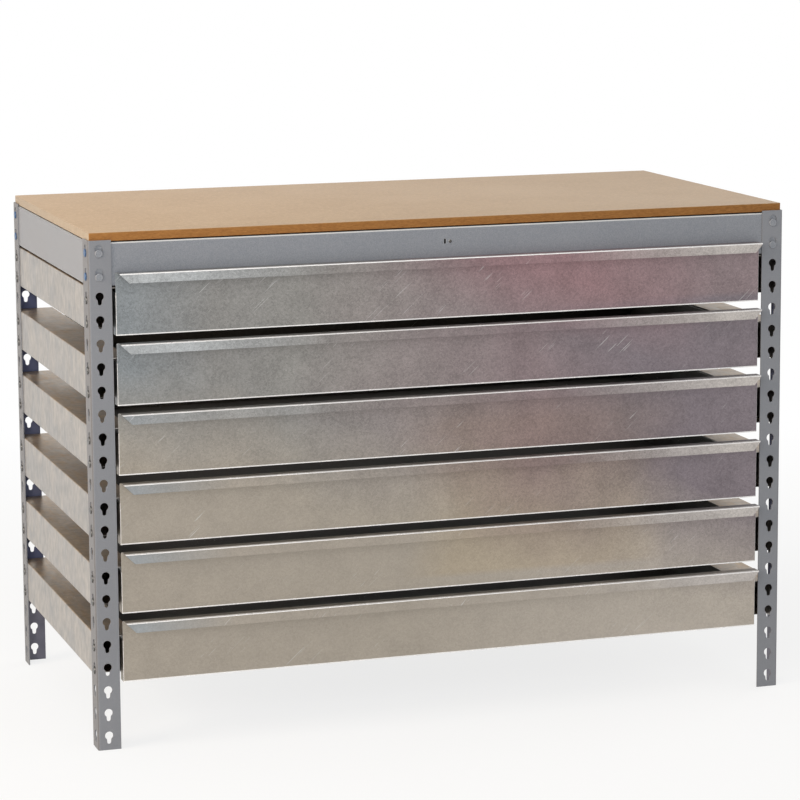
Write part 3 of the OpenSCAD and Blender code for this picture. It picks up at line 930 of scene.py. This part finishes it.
def make_disc(name, radius, sides, steps):
    bpy.ops.object.select_all(action="DESELECT")
    bpy.ops.mesh.primitive_circle_add(vertices=sides, radius=radius, fill_type="NGON", location=(0, 0, 0))
    disc = name_piece(name)
    bpy.ops.object.mode_set(mode="EDIT")
    bpy.ops.mesh.select_all(action="SELECT")
    grow_disc(steps)
    bpy.ops.object.mode_set(mode="OBJECT")
    return disc


def make_stud():
    """A headed stud on the Z axis, its head upwards and the post's outer face on z = 0."""
    grip = POST_T + WEB_T
    head = make_disc("stud", HEAD_R, HEAD_SIDES, HEAD_STEPS)
    shank = make_disc("stud_shank", SHANK_R, SHANK_SIDES, ((-grip, 1.0),))
    tail = make_disc("stud_tail", TAIL_R, TAIL_SIDES, TAIL_STEPS)
    tail.data.transform(Matrix.Translation((0, 0, -grip)))
    stud = join_pieces("stud", [head, shank, tail])
    outward_normals(stud)
    smooth(stud, math.radians(50))
    return stud


def stud_row(stud, keyholes, place_side):
    """Copies of the stud in the given keyholes, each turned and placed by place_side(z)."""
    copies = []
    for k in keyholes:
        z = POST_TOP - STUD_DROP - k * HOLE_PITCH
        for matrix in place_side(z):
            copies.append(copy_piece(stud, "stud_copy", matrix))
    return copies


def on_ends(z):
    """The four places on the front and back flanges at one height."""
    for x in (-OUTER_X + HOLE_INSET, OUTER_X - HOLE_INSET):
        yield Matrix.Translation((x, FRONT_Y, z)) @ Matrix.Rotation(math.radians(90), 4, "X")
        yield Matrix.Translation((x, BACK_Y, z)) @ Matrix.Rotation(math.radians(-90), 4, "X")


def on_side(side):
    """The two places on one side's flanges at one height."""
    def places(z):
        for y in (FRONT_Y + HOLE_INSET, BACK_Y - HOLE_INSET):
            yield (Matrix.Translation((side * OUTER_X, y, z))
                   @ Matrix.Rotation(math.radians(90 * side), 4, "Y"))
    return places


def finish_studs(name, node, copies, material):
    group = join_pieces(name, copies)
    dress(group, material)
    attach(group, "frame")
    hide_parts(node)


def make_studs():
    stud = make_stud()
    lowest_keyholes = [n * HOLES_PER_DRAWER for n in range(1, DRAWERS + 1)]
    runner_keyholes = [k for lowest in lowest_keyholes for k in (lowest - 1, lowest)]
    finish_studs("long_beam_stud_set", "long_beam_studs", stud_row(stud, BEAM_KEYHOLES, on_ends),
                 beam_paint)
    finish_studs("side_beam_stud_set", "side_beam_studs",
                 stud_row(stud, BEAM_KEYHOLES, on_side(-1)) + stud_row(stud, BEAM_KEYHOLES, on_side(1)),
                 blue_paint)
    for side, word in ((-1, "left"), (1, "right")):
        finish_studs(f"runner_stud_set_{word}", f"runner_studs_{word}",
                     stud_row(stud, runner_keyholes, on_side(side)), stud_zinc)
    bpy.data.objects.remove(stud)


make_studs()


# Finishes on the solids that stay

def refinish(node, material):
    for material_slot in nodes[node].material_slots:
        material_slot.material = material


for node in nodes:
    if node.startswith("post_"):
        refinish(node, post_paint)
    elif node.startswith(("beam_", "worktop_brace")):
        refinish(node, beam_paint)
    elif node.startswith(("runner_left", "runner_right")):
        refinish(node, runner_zinc)
    elif node.startswith("drawer_tray"):
        refinish(node, tray_zinc)
    elif node == "brace_rivets":
        refinish(node, stud_zinc)


# Floor, lamps and camera

# Share of plain white in the floor around the bench, and the distances from the bench's middle at which
# this share starts to grow and is whole
FLOOR_WHITENESS = 0.78
SHADOW_REACH = 1.0
WHITE_REACH = 2.6
FLOOR_RADIUS = 45
FLOOR_DARKER = (0.82, 0.82, 0.81, 1)
FLOOR_PALER = (0.85, 0.85, 0.84, 1)
# Strength of the white surround as a light
SURROUND_LIGHT = 0.45
BENCH_MIDDLE = (0, 0, 0.5)
BOARD_MIDDLE = (0, 0, 0.8)


def shows_background(tree):
    """1 for what the eye sees directly, in a reflection or through glass, and 0 for light on its way."""
    path = add_node(tree, "ShaderNodeLightPath").outputs
    direct = calc(tree, "MAXIMUM", path["Is Camera Ray"], path["Is Glossy Ray"])
    return calc(tree, "MAXIMUM", direct, path["Is Transmission Ray"])


def make_floor():
    """A pale floor that shows nearly white, keeps a faint shadow near the bench and fades to plain white."""
    material, tree, shader = start_material("pale floor", Roughness=0.85, Metallic=0.0)
    cloud = place_group(tree, smudges, Size=1.5, Softness=0.5)["Mask"]
    tone = mix_colors(tree, cloud, FLOOR_DARKER, FLOOR_PALER)
    tree.links.new(tone, shader.inputs["Base Color"])
    reach = add_node(tree, "ShaderNodeVectorMath", {0: object_position(tree)}, operation="LENGTH")
    whiteness = rescale(tree, reach.outputs["Value"], SHADOW_REACH, WHITE_REACH, FLOOR_WHITENESS, 1.0)
    whitened = calc(tree, "MULTIPLY", whiteness, shows_background(tree))
    white = add_node(tree, "ShaderNodeEmission", {"Color": WHITE, "Strength": 1.0})
    shown = add_node(tree, "ShaderNodeMixShader", {0: whitened, 1: shader.outputs[0], 2: white.outputs[0]})
    tree.links.new(shown.outputs[0], tree.nodes["Material Output"].inputs["Surface"])
    bpy.ops.object.select_all(action="DESELECT")
    bpy.ops.mesh.primitive_circle_add(vertices=64, radius=FLOOR_RADIUS, fill_type="NGON",
                                      location=(0, 0, 0))
    floor = name_piece("floor")
    dress(floor, material)


def make_lamp(name, place, aim, width, height, power, colour):
    """A softbox that faces the aim, with its sides in metres and its power in watts."""
    data = bpy.data.lights.new(name, "AREA")
    data.shape = "RECTANGLE"
    data.size = width
    data.size_y = height
    data.energy = power
    data.color = colour
    lamp = bpy.data.objects.new(name, data)
    bpy.context.collection.objects.link(lamp)
    lamp.location = place
    lamp.rotation_euler = (Vector(aim) - Vector(place)).to_track_quat("-Z", "Y").to_euler()


def make_world():
    """A white surround to look at and to reflect, which gives a softer light."""
    world = bpy.data.worlds.new("studio")
    bpy.context.scene.world = world
    world.use_nodes = True
    tree = world.node_tree
    tree.nodes.clear()
    strength = rescale(tree, shows_background(tree), 0.0, 1.0, SURROUND_LIGHT, 1.0)
    surround = add_node(tree, "ShaderNodeBackground", {"Color": WHITE, "Strength": strength})
    add_node(tree, "ShaderNodeOutputWorld", {"Surface": surround.outputs[0]})


def make_camera():
    """The camera that sees the bench as the photograph does, fitted to its posts, board and drawer edges."""
    place = Vector((-1.6305, -5.0205, 1.4222))
    yaw = math.radians(18.109)
    pitch = math.radians(8.837)
    roll = math.radians(-0.372)
    ahead = Vector((math.sin(yaw) * math.cos(pitch), math.cos(yaw) * math.cos(pitch), -math.sin(pitch)))
    level = Vector((math.cos(yaw), -math.sin(yaw), 0))
    above = level.cross(ahead)
    right = level * math.cos(roll) + above * math.sin(roll)
    up = above * math.cos(roll) - level * math.sin(roll)
    data = bpy.data.cameras.new("camera")
    data.sensor_width = 36
    data.lens = 137.46
    data.shift_y = -0.075
    data.clip_end = 200
    camera = bpy.data.objects.new("camera", data)
    bpy.context.collection.objects.link(camera)
    turn = Matrix((right, up, -ahead)).transposed().to_4x4()
    camera.matrix_world = Matrix.Translation(place) @ turn
    bpy.context.scene.camera = camera


make_floor()
make_lamp("key softbox", place=(-4.6, -1.2, 2.0), aim=BENCH_MIDDLE, width=2.6, height=2.0,
          power=200, colour=(1.0, 0.88, 0.74))
make_lamp("fill softbox", place=(-2.4, -5.0, 2.7), aim=BENCH_MIDDLE, width=3.0, height=1.6,
          power=95, colour=(0.97, 0.98, 1.0))
make_lamp("overhead softbox", place=(0, -0.4, 3.6), aim=BOARD_MIDDLE, width=3.0, height=2.0,
          power=14, colour=(1.0, 1.0, 1.0))
make_lamp("side softbox", place=(4.6, 1.8, 2.2), aim=BENCH_MIDDLE, width=2.4, height=1.8,
          power=55, colour=(1.0, 0.98, 0.95))
make_world()
make_camera()
bpy.context.scene.view_settings.view_transform = "Standard"
